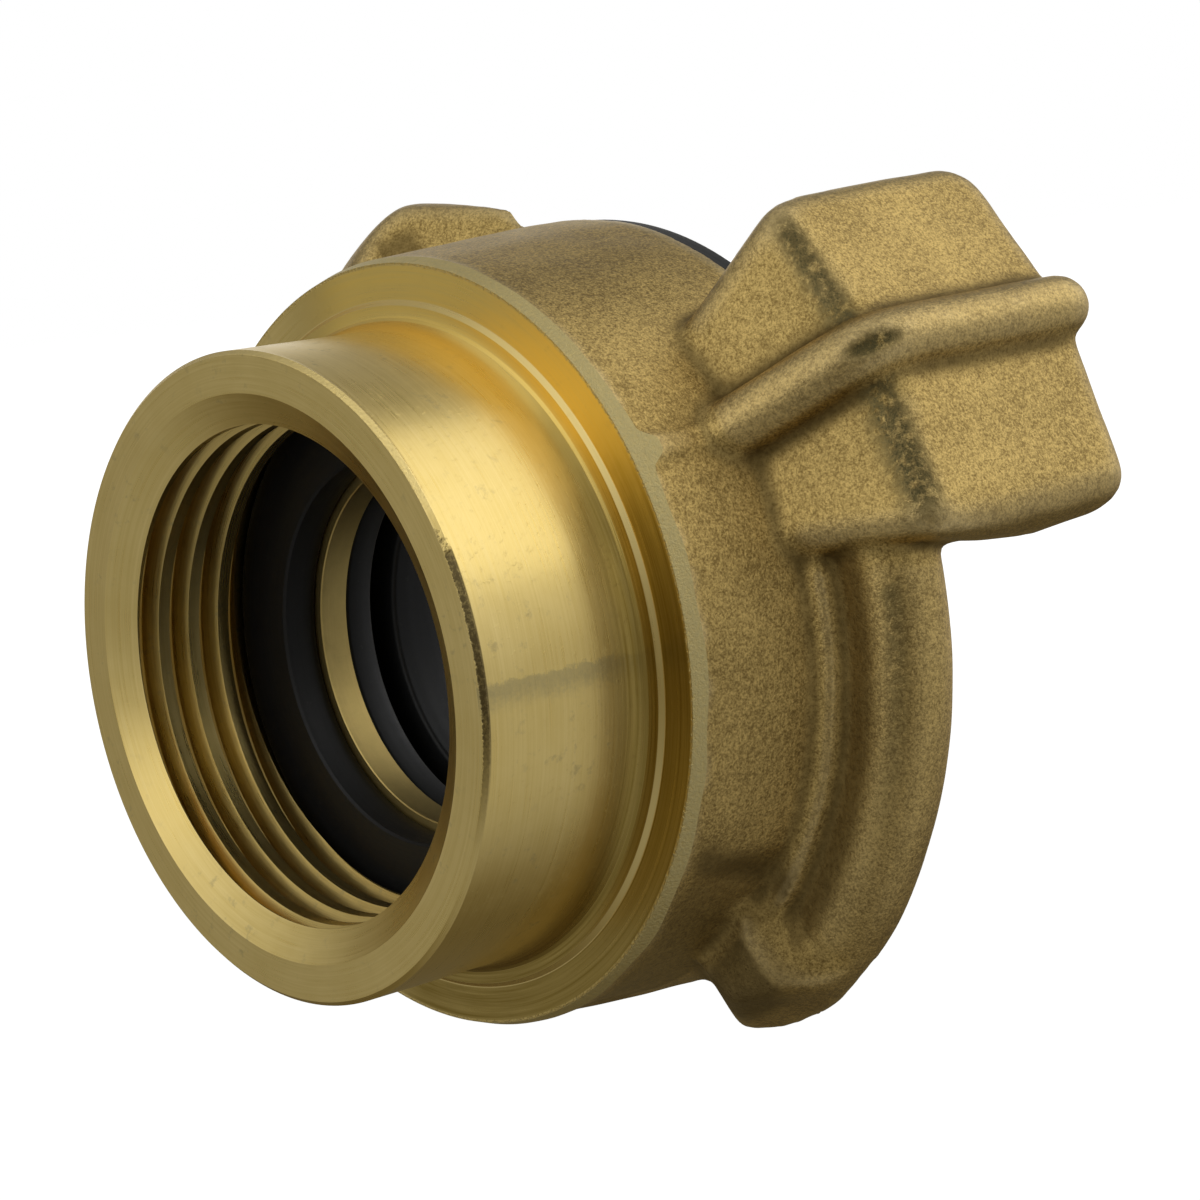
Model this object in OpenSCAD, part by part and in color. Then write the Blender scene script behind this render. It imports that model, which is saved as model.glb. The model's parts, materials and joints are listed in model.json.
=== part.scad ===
// One half of a brass claw hose coupling with an inside pipe thread.
// The axis runs along +X, from the thread's mouth to the claws, and the origin is the mouth's centre.

/* [Pipe thread] */
// Core diameter of the inside pipe thread
thread_core_d = 24.12; // [22:0.01:26]
// Depth of the thread from the mouth
thread_l = 7.3; // [6:0.1:7.6]
// Diameter of the countersink at the mouth
mouth_d = 27.2; // [26.6:0.1:28.4]
// Depth of the countersink at the mouth
mouth_depth = 0.9; // [0.5:0.1:2]

/* [Collar] */
// Outside diameter of the turned collar
collar_d = 31.2; // [30.4:0.1:33]
// Distance from the mouth to the turned face behind the collar
collar_l = 9.5; // [9.1:0.1:10.4]
// Length over which the collar flares out towards the face
flare_l = 2.4; // [1:0.1:4]
// Growth of the collar's radius over that length
flare_h = 0.7; // [0.3:0.1:1]

/* [Thread gasket] */
// Outside diameter of the flat gasket
gasket_d = 26.4; // [25:0.1:27.6]
// Hole diameter of the flat gasket
gasket_hole_d = 19.1; // [18.6:0.1:21]
// Thickness of the flat gasket
gasket_t = 2; // [1.5:0.1:2.4]
// Depth of the gasket's seat below the turned face
seat_depth = 0.6; // [0.3:0.1:1]

/* [Body] */
// Diameter of the turned face's rim at the rear of the body
face_d = 37.5; // [36:0.1:38.4]
// Width of the bright chamfer at the rear edge of the body
body_chamfer = 0.6; // [0.3:0.05:1]
// Diameter of the body at its front edge
front_d = 39.6; // [39.2:0.1:40]
// Distance from the mouth to the front face of the body
body_l = 22; // [21:0.1:24]
// Bore diameter of the wall between the gasket and the front seal
wall_bore_d = 18.2; // [14:0.1:18.4]
// Thickness of that wall
wall_t = 1.6; // [1.2:0.1:2.6]
// Depth of the shallow relief between the claws where the other half's claws pass
pass_depth = 0.3; // [0.1:0.05:0.6]
// Distance from the turned face to the rear end of that relief
pass_start = 2.4; // [1.5:0.1:4]
// Height of the parting line's flash over the body
flash_h = 0.25; // [0.1:0.05:0.5]
// Width of the flash
flash_w = 0.8; // [0.5:0.1:1.5]

/* [Front seal] */
// Diameter of the front seal's brim
brim_d = 38.9; // [36:0.1:39.4]
// Thickness of the brim in front of the body
brim_t = 1.5; // [1:0.1:2]
// Radius of the brim's front edge
brim_edge_r = 0.5; // [0.2:0.1:0.8]
// Diameter of the seal's neck in the body
neck_d = 29; // [26:0.1:31]
// Diameter of the bead that holds the seal in the body
bead_d = 32; // [31.4:0.1:33]
// Height of that bead
bead_h = 3; // [2:0.1:4]
// Diameter of the seal's opening
seal_hole_d = 18.4; // [16:0.1:20]
// Diameter of the groove that lets the water press the seal's lip forwards
groove_d = 23; // [21.5:0.1:24]
// Thickness of the seal's foot behind the groove
seal_foot_t = 1.8; // [1.2:0.1:2.4]
// Width of the groove
groove_w = 1.4; // [0.8:0.1:2]

/* [Flange] */
// Diameter of the flange that the other half's claws grip
flange_d = 48; // [46:0.1:49]
// Thickness of the flange between its front face and its track
track_t = 4.3; // [3.4:0.1:4.6]
// Diameter of the ridge that guides the other half's claws along the track
ridge_d = 40.6; // [40.2:0.1:41.4]
// Height of that ridge behind the track
ridge_h = 1.1; // [0.6:0.1:1.6]
// Radius of the flange's front edge
rim_front_r = 1.6; // [1:0.1:2]
// Radius of the track's outer edge
rim_rear_r = 2.2; // [1.5:0.1:2.2]
// Thickness of the flange at the lobe that keeps the other half's claws from slipping back
lobe_t = 6.5; // [5.4:0.1:7]
// Angle from the claw's middle to the top of the lobe
lobe_angle = 83; // [72:1:88]
// Width of the lobe's top
lobe_top_w = 1.9; // [0.6:0.1:2.4]
// Slope of the lobe's entry ramp
ramp_slope = 43; // [34:1:50]
// Slope of the lobe's side towards the track
stop_slope = 38; // [30:1:60]
// Radius of the lobe's rear edge
lobe_edge_r = 4; // [2:0.1:4.2]
// Amount by which the lobe stands out beyond the rim
lobe_proud = 0.1; // [0.05:0.05:0.3]
// Amount by which the lobe's outer corner is taken in
lobe_side_trim = 1.1; // [0.6:0.1:2]
// Amount by which the tip of the entry ramp is taken in
lobe_tip_trim = 4; // [2:0.1:5]

/* [Claws] */
// Distance across the hooks' inner faces, the size that couplings of this kind are named after
claw_distance = 40; // [39.6:0.1:41]
// Width of a claw
claw_w = 18; // [16:0.1:19]
// Width of a claw at its foot on the body
foot_w = 12; // [10:0.1:13]
// Distance from the axis to the claw's outer face over the front of the body
claw_h = 26.45; // [26.2:0.05:28]
// Distance from the front face of the body to the claws' front faces
claw_reach = 10.65; // [9.8:0.05:12]
// Distance from the foot of the claw's sloping back to the front face of the body
claw_run = 5.95; // [5:0.05:7]
// Slope of the claw's back, measured from the axis
back_slope = 63.8; // [58:0.1:68]
// Draft of the outer face to both sides of the parting line
roof_draft = 9.1; // [5:0.1:11]
// Rise of the outer face towards the front
roof_rise = 3.1; // [0:0.1:4]
// Amount by which each side of the hook's nose narrows below the flange
nose_taper = 2.4; // [1:0.1:3]
// Amount by which each side of the claw narrows at its root
root_taper = 1; // [0.2:0.1:1.6]
// Radius of the claw's rounded edges
edge_r = 1.6; // [1:0.1:2]
// Room under a hook for the other half's flange
hook_gap = 5.6; // [5:0.1:6]
// Gap around the other half's flange in the hook
hook_clearance = 0.4; // [0.2:0.1:0.8]
// Radius of the rib along the claw's middle
rib_r = 1.5; // [1:0.1:1.8]
// Length by which the rib stands out of the claw's front face
rib_proud = 0.35; // [0.05:0.05:1]

/* [Lie] */
// Angle of the first claw above the level as the coupling lies
lie_angle = 28.6; // [0:0.1:90]

/* [Hidden] */
$fn = 96;
ball_fn = 24;
// The two claws and flanges stand opposite each other
half_turn = 180;
// Clearance between a rubber part and the brass around it
rubber_gap = 0.1;
// Overlap that makes a cut pass cleanly through a face
cut = 0.5;

// Thread chamber and the wall in front of it
seat_z = collar_l + seat_depth;
gasket_room_r = gasket_d / 2 + 2 * rubber_gap;
wall_z = seat_z + wall_t;

// Core
collar_r = collar_d / 2;
flare_r = (flare_l * flare_l + flare_h * flare_h) / (2 * flare_h);
face_r = face_d / 2;
front_r = front_d / 2;
edge_z = collar_l + body_chamfer;
edge_body_r = face_r + body_chamfer / 2;
function body_r(z) = edge_body_r + (z - edge_z) * (front_r - edge_body_r) / (body_l - edge_z);

// Relief between the claws, as angles from a claw's middle
pass_from = 63;
pass_to = 110;
pass_z = collar_l + pass_start;
pass_run = 1;

// Flange
flange_r = flange_d / 2;
ridge_r = ridge_d / 2;
track_z = body_l - track_t;
lobe_z = body_l - lobe_t;
lobe_r = flange_r + lobe_proud;
// The lobe's front edge is a little sharper than the rim's
lobe_front_r = rim_front_r - 3 * lobe_proud;
// Radius inside the core's wall from which everything outside grows
root_r = (bead_d / 2 + rubber_gap + body_r(track_z)) / 2;
lobe_from = lobe_angle - 18;
lobe_span = 50;
track_end = lobe_angle - 4;
// Directions in which the lobe's corner and the ramp's tip are taken in, and the lean of the corner's cut
lobe_side_angle = lobe_angle + 17;
lobe_tip_angle = lobe_angle + 42;
lobe_side_lean = 23;
lobe_side_z = body_l - 2;

// Claw
claw_r = claw_distance / 2;
claw_z = body_l + claw_reach;
claw_foot_z = body_l - claw_run;
hook_room_r = flange_r + hook_clearance;
foot_r = body_r(claw_foot_z);
side_w = claw_w / 2 - edge_r;
foot_side_w = foot_w / 2 - edge_r;
nose_side_w = side_w - nose_taper;
root_side_w = side_w - root_taper;
nose_z = claw_z - edge_r;
// Distance from the axis of a rounding ball that touches the outer face, at height z and w to the side
function roof_ball(z, w) =
    claw_h + tan(roof_rise) * (z - body_l) - tan(roof_draft) * w - edge_r / cos(roof_draft);
// Height of a rounding ball that touches the sloping back, h from the axis
function back_ball(h) = claw_foot_z + (h - foot_r) / tan(back_slope) + edge_r / sin(back_slope);
shoulder_h = roof_ball(claw_foot_z + edge_r, side_w);
shoulder_z = back_ball(shoulder_h);
crown_h = roof_ball(claw_foot_z + edge_r, 0);
crown_z = back_ball(crown_h);
waist_h = claw_r + nose_taper;
root_h = foot_r - edge_r;
// Setback of the side's rear edge below the shoulder, where the side widens towards the body
side_back = 0.6;

// Rib, sunk a little into the claw
rib_sink = 0.15;
rib_back = 0.4;
rib_front_z = claw_z + rib_proud - rib_r;
rib_front_h = claw_h + tan(roof_rise) * (rib_front_z - body_l) - rib_sink;
rib_bend_h = claw_h - tan(roof_rise) * claw_run / 2 - rib_sink;
function rib_z(h) = claw_foot_z - rib_back + (h - foot_r) / tan(back_slope);
rib_foot_h = foot_r - rib_r / 2;

// Lays the coupling down along +X with the first claw at its lying angle
module lie() {
    rotate([0, 90, 0]) rotate([0, 0, -90 - lie_angle]) children();
}

// Draws its children once for each of the two opposite sides
module both_sides() {
    for (turn = [0, half_turn]) rotate([0, 0, turn]) children();
}

// Plane region between two radii and two heights
module slab(r0, r1, z0, z1) {
    translate([r0, z0]) square([r1 - r0, z1 - z0]);
}

// Waste of a rounded corner at [r, z]; rear is 1 where the metal lies in front of it, else -1
module corner_waste(r, z, round_r, rear) {
    difference() {
        translate([r - round_r, rear > 0 ? z - cut : z - round_r]) square(round_r + cut);
        translate([r - round_r, z + rear * round_r]) circle(r = round_r);
    }
}

// Half section of the core before it is bored
module core_outline() {
    slab(0, collar_r, 0, collar_l + cut);
    difference() {
        slab(0, collar_r + flare_h, collar_l - flare_l, collar_l + cut);
        translate([collar_r + flare_r, collar_l - flare_l]) circle(r = flare_r);
    }
    polygon([
        [0, collar_l], [face_r, collar_l],
        [edge_body_r, edge_z], [front_r, body_l], [0, body_l]
    ]);
}

// Half section of all that is bored out of the core
module bore_outline() {
    polygon([
        [0, -cut], [mouth_d / 2 + cut, -cut], [mouth_d / 2, 0],
        [thread_core_d / 2, mouth_depth], [thread_core_d / 2, thread_l + cut], [0, thread_l + cut]
    ]);
    slab(0, gasket_room_r, thread_l, seat_z);
    slab(0, wall_bore_d / 2, thread_l, body_l);
    slab(0, neck_d / 2 + rubber_gap, wall_z, body_l + cut);
    slab(0, bead_d / 2 + rubber_gap, wall_z, wall_z + bead_h + rubber_gap);
}

// Half section of the relief between the claws
module pass_outline() {
    polygon([
        [body_r(pass_z), pass_z], [body_r(pass_z + pass_run) - pass_depth, pass_z + pass_run],
        [front_r - pass_depth, body_l + cut], [front_r + cut, body_l + cut], [front_r + cut, pass_z]
    ]);
}

// Half section of the flange's plain stretch: guide ridge, track and rim
module track_outline() {
    slab(root_r, ridge_r, track_z - ridge_h, track_z + cut);
    difference() {
        slab(root_r, flange_r, track_z, body_l);
        corner_waste(flange_r, body_l, rim_front_r, -1);
        corner_waste(flange_r, track_z, rim_rear_r, 1);
    }
}

// Half section of the flange at its lobe
module lobe_outline() {
    difference() {
        slab(root_r, lobe_r, lobe_z, body_l);
        corner_waste(lobe_r, body_l, lobe_front_r, -1);
        corner_waste(lobe_r, lobe_z, lobe_edge_r, 1);
    }
}

// Lobe seen from outside: side towards the track, top and entry ramp, cut through along the radius
module lobe_wedge() {
    stop_run = (track_z + cut - lobe_z) / tan(stop_slope);
    ramp_run = lobe_t / tan(ramp_slope);
    rotate([0, 0, lobe_angle]) rotate([90, 0, 90]) linear_extrude(height = lobe_r + cut) polygon([
        [-lobe_top_w / 2 - stop_run, body_l], [-lobe_top_w / 2 - stop_run, track_z + cut],
        [-lobe_top_w / 2, lobe_z], [lobe_top_w / 2, lobe_z], [lobe_top_w / 2 + ramp_run, body_l]
    ]);
}

// Everything beyond a plane that faces outwards at an angle, r from the axis at height z, and leans by lean
module beyond(angle, r, z, lean) {
    rotate([0, 0, angle]) translate([r, 0, z]) rotate([0, lean, 0]) translate([0, -flange_r, -flange_r])
        cube([flange_r, flange_d, flange_d]);
}

// One flange with its lobe, from the claw's middle to the end of the entry ramp
module flange() {
    rotate_extrude(angle = track_end) track_outline();
    difference() {
        intersection() {
            rotate([0, 0, lobe_from]) rotate_extrude(angle = lobe_span) lobe_outline();
            lobe_wedge();
        }
        beyond(lobe_side_angle, flange_r - lobe_side_trim, lobe_side_z, lobe_side_lean);
        beyond(lobe_tip_angle, flange_r - lobe_tip_trim, lobe_side_z, 0);
    }
}

// Rounding ball of the claw at height z, h from the axis and w to the side
module ball(z, h, w) {
    translate([h, w, z]) sphere(r = edge_r, $fn = ball_fn);
}

// Rounded block from which the claw's hook is cut
module claw_block() {
    hull() {
        ball(crown_z, crown_h, 0);
        ball(nose_z, roof_ball(nose_z, 0), 0);
        for (side = [-1, 1]) {
            ball(back_ball(root_h), root_h, side * foot_side_w);
            ball(shoulder_z + side_back, root_h, side * root_side_w);
            ball(shoulder_z, shoulder_h, side * side_w);
            ball(nose_z, roof_ball(nose_z, side_w), side * side_w);
            ball(nose_z, waist_h, side * side_w);
            ball(nose_z, root_h, side * nose_side_w);
        }
    }
}

// Room for the other half's flange under the hooks, and for its seal between them
module hook_room() {
    rotate_extrude() {
        slab(0, hook_room_r, body_l, body_l + hook_gap);
        slab(0, claw_r, body_l, claw_z + cut);
    }
}

// Straight stretch of the rib between two points given by height and distance from the axis
module rib_stretch(z0, h0, z1, h1) {
    hull() {
        translate([h0, 0, z0]) sphere(r = rib_r, $fn = ball_fn);
        translate([h1, 0, z1]) sphere(r = rib_r, $fn = ball_fn);
    }
}

// One claw with its hook and the rib along its back and outer face
module claw() {
    difference() {
        claw_block();
        hook_room();
    }
    rib_stretch(rib_z(rib_foot_h), rib_foot_h, rib_z(rib_bend_h), rib_bend_h);
    rib_stretch(rib_z(rib_bend_h), rib_bend_h, rib_front_z, rib_front_h);
}

// Flash that the dies' parting line leaves on the body behind the claw
module flash() {
    flash_angle = flash_w / front_r * half_turn / PI;
    rotate([0, 0, -flash_angle / 2]) rotate_extrude(angle = flash_angle) polygon([
        [root_r, edge_z + flash_h], [edge_body_r, edge_z + flash_h],
        [edge_body_r + flash_h, edge_z + 2 * flash_h],
        [foot_r + flash_h, claw_foot_z], [root_r, claw_foot_z]
    ]);
}

// Forged and turned brass body with its claws and flanges
module body() {
    color("darkgoldenrod") lie() difference() {
        union() {
            difference() {
                rotate_extrude() core_outline();
                both_sides() rotate([0, 0, pass_from])
                    rotate_extrude(angle = pass_to - pass_from) pass_outline();
            }
            both_sides() {
                flange();
                claw();
                flash();
            }
        }
        rotate_extrude() bore_outline();
    }
}

// Flat rubber gasket at the bottom of the thread
module thread_gasket() {
    color("dimgray") lie() rotate_extrude() slab(gasket_hole_d / 2, gasket_d / 2, seat_z - gasket_t, seat_z);
}

// Moulded rubber seal that presses on the other half's seal
module face_seal() {
    groove_z = wall_z + seal_foot_t;
    color("dimgray") lie() rotate_extrude() difference() {
        union() {
            slab(seal_hole_d / 2, bead_d / 2, wall_z, wall_z + bead_h);
            slab(seal_hole_d / 2, neck_d / 2, wall_z, body_l + cut);
            slab(seal_hole_d / 2, brim_d / 2, body_l, body_l + brim_t);
        }
        slab(0, groove_d / 2, groove_z, groove_z + groove_w);
        corner_waste(brim_d / 2, body_l + brim_t, brim_edge_r, -1);
    }
}

body();
thread_gasket();
face_seal();
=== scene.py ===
"""Claw hose coupling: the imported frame's forged and turned brass body and its two rubber rings, dressed for the camera.

Shapes are made in the coupling's own frame, in millimetres: z runs along the bore from the thread's mouth to the
claws, and the first claw stands on +x. A finished piece is laid down into the model's frame, in metres, at the end.
"""
import json
import logging
import math
from dataclasses import dataclass
from enum import Enum
from typing import Any, Callable, Optional, Sequence

import bmesh
import bpy
import numpy as np
from mathutils import Matrix, Vector, noise

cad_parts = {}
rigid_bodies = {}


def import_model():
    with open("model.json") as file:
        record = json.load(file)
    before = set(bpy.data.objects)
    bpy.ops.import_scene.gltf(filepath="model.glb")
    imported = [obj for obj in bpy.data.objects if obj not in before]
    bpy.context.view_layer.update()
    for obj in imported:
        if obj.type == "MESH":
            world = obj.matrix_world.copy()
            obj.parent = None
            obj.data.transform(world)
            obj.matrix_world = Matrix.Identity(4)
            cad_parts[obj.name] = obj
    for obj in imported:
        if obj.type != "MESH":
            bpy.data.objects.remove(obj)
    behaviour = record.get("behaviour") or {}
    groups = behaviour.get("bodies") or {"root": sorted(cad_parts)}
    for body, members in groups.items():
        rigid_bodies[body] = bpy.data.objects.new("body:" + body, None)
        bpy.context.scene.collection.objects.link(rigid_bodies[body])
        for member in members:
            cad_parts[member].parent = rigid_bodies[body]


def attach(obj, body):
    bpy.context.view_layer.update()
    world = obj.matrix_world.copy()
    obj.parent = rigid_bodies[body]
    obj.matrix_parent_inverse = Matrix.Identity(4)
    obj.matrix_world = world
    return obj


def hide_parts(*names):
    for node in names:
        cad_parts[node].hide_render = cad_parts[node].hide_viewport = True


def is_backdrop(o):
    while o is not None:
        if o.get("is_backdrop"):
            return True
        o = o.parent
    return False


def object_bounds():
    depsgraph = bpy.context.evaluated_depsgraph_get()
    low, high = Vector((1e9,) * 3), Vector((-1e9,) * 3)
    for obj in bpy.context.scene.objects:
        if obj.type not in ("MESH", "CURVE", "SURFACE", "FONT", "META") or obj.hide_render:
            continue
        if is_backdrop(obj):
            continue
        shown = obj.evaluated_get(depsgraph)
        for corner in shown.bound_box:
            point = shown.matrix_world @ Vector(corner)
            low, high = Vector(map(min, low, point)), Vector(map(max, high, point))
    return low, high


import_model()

LOG = logging.getLogger("coupling")
MM = 0.001
QUARTER_TURN = 90.0
HALF_TURN = 180.0
FULL_TURN = 360.0
# Stretches round a rubber ring, and the angle in degrees from which its corners are crisp
RING_STEPS = 192
RING_SHARP = 35.0

Point = tuple[float, float]
Place = tuple[float, float, float]
Colour = tuple[float, float, float]
# Patches per millimetre, detail and roughness of a noise
Noise = tuple[float, float, float]
# Where a mask is 0 and where it is 1
Span = tuple[float, float]
# Where a mask leaves 0, reaches 1, leaves 1 and reaches 0
Band = tuple[float, float, float, float]


class Finish(Enum):
    """Material slot of each surface of the brass body."""

    FORGED = 0
    TURNED = 1
    THREAD = 2


class Solve(Enum):
    """Boolean operation that a tool does on the work."""

    CUT = "DIFFERENCE"
    KEEP = "INTERSECT"


# ------------------------------------------------------------------------------------------------ shaping solids


@dataclass(frozen=True)
class Lie:
    """How the coupling lies in the model's frame."""

    claw_angle: float = 28.6

    def matrix(self) -> Matrix:
        """Returns the matrix from the coupling's millimetre frame to the model's frame in metres."""
        down = Matrix.Rotation(math.radians(QUARTER_TURN), 4, "Y")
        turn = Matrix.Rotation(math.radians(-QUARTER_TURN - self.claw_angle), 4, "Z")
        return Matrix.Scale(MM, 4) @ down @ turn


def polar(radius: float, angle: float, z: float) -> Vector:
    """Returns the point at a radius, an angle from the first claw in degrees and a height."""
    turn = math.radians(angle)
    return Vector((radius * math.cos(turn), radius * math.sin(turn), z))


def arc(centre: Point, radius: float, start: float, end: float, steps: int = 6) -> list[Point]:
    """Points of an arc in the plane of an outline.

    Args:
        centre: Centre of the arc, as radius and height.
        radius: Radius of the arc.
        start: First angle in degrees, measured from the direction away from the axis.
        end: Last angle in degrees.
        steps: Number of stretches.

    Returns:
        The points, the ends among them.
    """
    turns = [math.radians(start + (end - start) * i / steps) for i in range(steps + 1)]
    return [(centre[0] + radius * math.cos(t), centre[1] + radius * math.sin(t)) for t in turns]


def corner(at: Point, radius: float, start: float, steps: int, turn: float = QUARTER_TURN) -> list[Point]:
    """Returns the rounding of an outline's square corner, from a start angle through a quarter turn, on or back."""
    middle = math.radians(start + turn / 2)
    centre = (at[0] - math.copysign(radius, math.cos(middle)), at[1] - math.copysign(radius, math.sin(middle)))
    return arc(centre, radius, start, start + turn, steps)


def ramp(values: np.ndarray, start: float, end: float) -> np.ndarray:
    """Returns a straight ramp from 0 at start to 1 at end, which may be the smaller."""
    return np.clip((values - start) / (end - start), 0, 1)


def column(items: bpy.types.bpy_prop_collection, name: str, width: int, kind: type = float) -> np.ndarray:
    """Reads a property of a mesh's items, one row for each."""
    values = np.empty(len(items) * width, dtype=kind)
    items.foreach_get(name, values)
    return values.reshape(-1, width)


def blend(value: float, low: float, high: float) -> float:
    """Returns a smooth step from 0 at low to 1 at high."""
    t = min(max((value - low) / (high - low), 0.0), 1.0)
    return t * t * (3 - 2 * t)


def placed(name: str, data: bpy.types.ID, matrix: Optional[Matrix] = None) -> bpy.types.Object:
    """Makes an object of some data, puts it in its place and links it to the scene."""
    thing = bpy.data.objects.new(name, data)
    if matrix is not None:
        thing.matrix_world = matrix
    bpy.context.scene.collection.objects.link(thing)
    return thing


def scrap(thing: bpy.types.Object) -> None:
    """Removes a passing object and its mesh."""
    mesh = thing.data
    bpy.data.objects.remove(thing)
    bpy.data.meshes.remove(mesh)


class Stock:
    """A closed solid in the coupling's millimetre frame, shaped step by step."""

    def __init__(self, finish: Finish = Finish.FORGED) -> None:
        """Starts with nothing; finish is the material slot of the faces."""
        self.mesh = bmesh.new()
        self.finish = finish

    @classmethod
    def turned(cls, outline: Sequence[Point], steps: int, finish: Finish = Finish.FORGED,
               start: float = 0.0, sweep: float = FULL_TURN, lead: float = 0.0) -> "Stock":
        """Spins an outline about the axis.

        Args:
            outline: Points as radius and height. It is closed, unless its two ends stand on the axis.
            steps: Number of stretches round the sweep.
            finish: Material slot of the faces.
            start: Angle of the first section in degrees.
            sweep: Angle that the outline is spun through.
            lead: Height gained per turn, as on a thread.

        Returns:
            The closed solid.
        """
        work = cls(finish)
        bm = work.mesh
        verts = [bm.verts.new(polar(r, start, z)) for r, z in outline]
        edges = [bm.edges.new(pair) for pair in zip(verts, verts[1:])]
        if outline[0][0] > 0 or outline[-1][0] > 0:
            edges.append(bm.edges.new((verts[-1], verts[0])))
        whole = sweep == FULL_TURN and not lead
        rise = lead * sweep / FULL_TURN / steps
        bmesh.ops.spin(bm, geom=verts + edges, cent=(0, 0, 0), axis=(0, 0, 1), dvec=(0, 0, rise),
                       angle=math.radians(sweep), steps=steps, use_merge=whole)
        bmesh.ops.remove_doubles(bm, verts=bm.verts, dist=1e-5)
        if not whole:
            bmesh.ops.holes_fill(bm, edges=[e for e in bm.edges if e.is_boundary], sides=0)
        return work.outwards()

    @classmethod
    def block(cls, low: Place, high: Place) -> "Stock":
        """Returns a block between two corners."""
        work = cls()
        size = Vector(high) - Vector(low)
        place = Matrix.Translation((Vector(low) + Vector(high)) / 2) @ Matrix.Diagonal((*size, 1))
        bmesh.ops.create_cube(work.mesh, size=1, matrix=place)
        return work

    @classmethod
    def rod(cls, path: Sequence[Vector], radius: float, sides: int = 24) -> "Stock":
        """Sweeps a round rod with ball ends along a path in one plane.

        Args:
            path: Points of the rod's middle line.
            radius: Radius of the rod.
            sides: Number of sides.

        Returns:
            The rod, whose balls overlap its ends.
        """
        work = cls()
        bm = work.mesh
        heading = (path[1] - path[0]).normalized()
        frame_here = Matrix.Translation(path[0]) @ heading.to_track_quat("Z", "Y").to_matrix().to_4x4()
        ring = bmesh.ops.create_circle(bm, radius=radius, segments=sides, cap_ends=True, matrix=frame_here)["verts"]
        edges = [e for e in bm.edges if all(v in ring for v in e.verts)]
        for before, here, after in zip(path, path[1:], [*path[2:], path[-1]]):
            grown = bmesh.ops.extrude_edge_only(bm, edges=edges)["geom"]
            verts = [v for v in grown if isinstance(v, bmesh.types.BMVert)]
            edges = [e for e in grown if isinstance(e, bmesh.types.BMEdge)]
            bmesh.ops.translate(bm, verts=verts, vec=here - before)
            ahead = (after - here).normalized() if after != here else heading
            bmesh.ops.rotate(bm, verts=verts, cent=here, matrix=heading.rotation_difference(ahead).to_matrix())
            heading = ahead
        bmesh.ops.holes_fill(bm, edges=[e for e in bm.edges if e.is_boundary], sides=0)
        for end in (path[0], path[-1]):
            bmesh.ops.create_uvsphere(bm, u_segments=sides, v_segments=sides // 2, radius=radius,
                                      matrix=Matrix.Translation(end))
        return work.outwards()

    def outwards(self) -> "Stock":
        """Turns every face outwards and returns the solid."""
        bmesh.ops.recalc_face_normals(self.mesh, faces=self.mesh.faces)
        return self

    def cut(self, point: Vector, normal: Vector) -> "Stock":
        """Cuts away all on the normal's side of a plane and closes the cut.

        Args:
            point: A point of the plane.
            normal: Its normal, towards the waste.

        Returns:
            The solid.
        """
        bm = self.mesh
        every = [*bm.verts, *bm.edges, *bm.faces]
        done = bmesh.ops.bisect_plane(bm, geom=every, dist=1e-6, plane_co=point, plane_no=normal, clear_outer=True)
        rim = [e for e in done["geom_cut"] if isinstance(e, bmesh.types.BMEdge)]
        if rim:
            bmesh.ops.holes_fill(bm, edges=rim, sides=0)
        return self.outwards()

    def soften(self, radius: float, segments: int, sharper_than: float = 20.0,
               only: Optional[Callable[[Vector], bool]] = None) -> "Stock":
        """Rounds the solid's edges.

        Args:
            radius: Radius of the rounding.
            segments: Number of stretches across it.
            sharper_than: Angle between faces in degrees, below which an edge stays.
            only: Test of an edge's middle.

        Returns:
            The solid.
        """
        limit = math.radians(sharper_than)
        edges = [e for e in self.mesh.edges if len(e.link_faces) == 2 and e.calc_face_angle() > limit
                 and (only is None or only((e.verts[0].co + e.verts[1].co) / 2))]
        bmesh.ops.bevel(self.mesh, geom=edges, offset=radius, offset_type="OFFSET", segments=segments, profile=0.5,
                        affect="EDGES", clamp_overlap=True, material=-1)
        return self

    def moved(self, shift: Callable[[Vector], Vector]) -> "Stock":
        """Moves every vertex to where the function puts it and returns the solid."""
        for vert in self.mesh.verts:
            vert.co = shift(vert.co)
        return self

    def twice(self) -> "Stock":
        """Adds the same solid on the opposite side of the axis and returns both."""
        copy = bmesh.ops.duplicate(self.mesh, geom=[*self.mesh.verts, *self.mesh.edges, *self.mesh.faces])["geom"]
        return self.opposite([v for v in copy if isinstance(v, bmesh.types.BMVert)])

    def opposite(self, verts: Optional[Sequence[bmesh.types.BMVert]] = None) -> "Stock":
        """Turns some vertices, or all of them, half a turn about the axis and returns the solid."""
        half = Matrix.Rotation(math.pi, 3, "Z")
        bmesh.ops.rotate(self.mesh, verts=list(verts or self.mesh.verts), cent=(0, 0, 0), matrix=half)
        return self

    def joined(self, *others: "Stock") -> "Stock":
        """Takes the other solids' faces in and returns all of them."""
        for other in others:
            passing = bpy.data.meshes.new("passing")
            other.mesh.to_mesh(passing)
            self.mesh.from_mesh(passing)
            bpy.data.meshes.remove(passing)
        return self

    def smoothed(self, rounds: int, factor: float = 0.5, only: Optional[Callable[[Vector], bool]] = None) -> "Stock":
        """Evens the surface out, as blasting does.

        Args:
            rounds: Number of rounds.
            factor: Share of the way that a vertex moves in each.
            only: Test of a vertex's place.

        Returns:
            The solid.
        """
        verts = [v for v in self.mesh.verts if only is None or only(v.co)]
        for _ in range(rounds):
            bmesh.ops.smooth_vert(self.mesh, verts=verts, factor=factor,
                                  use_axis_x=True, use_axis_y=True, use_axis_z=True)
        return self

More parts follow.
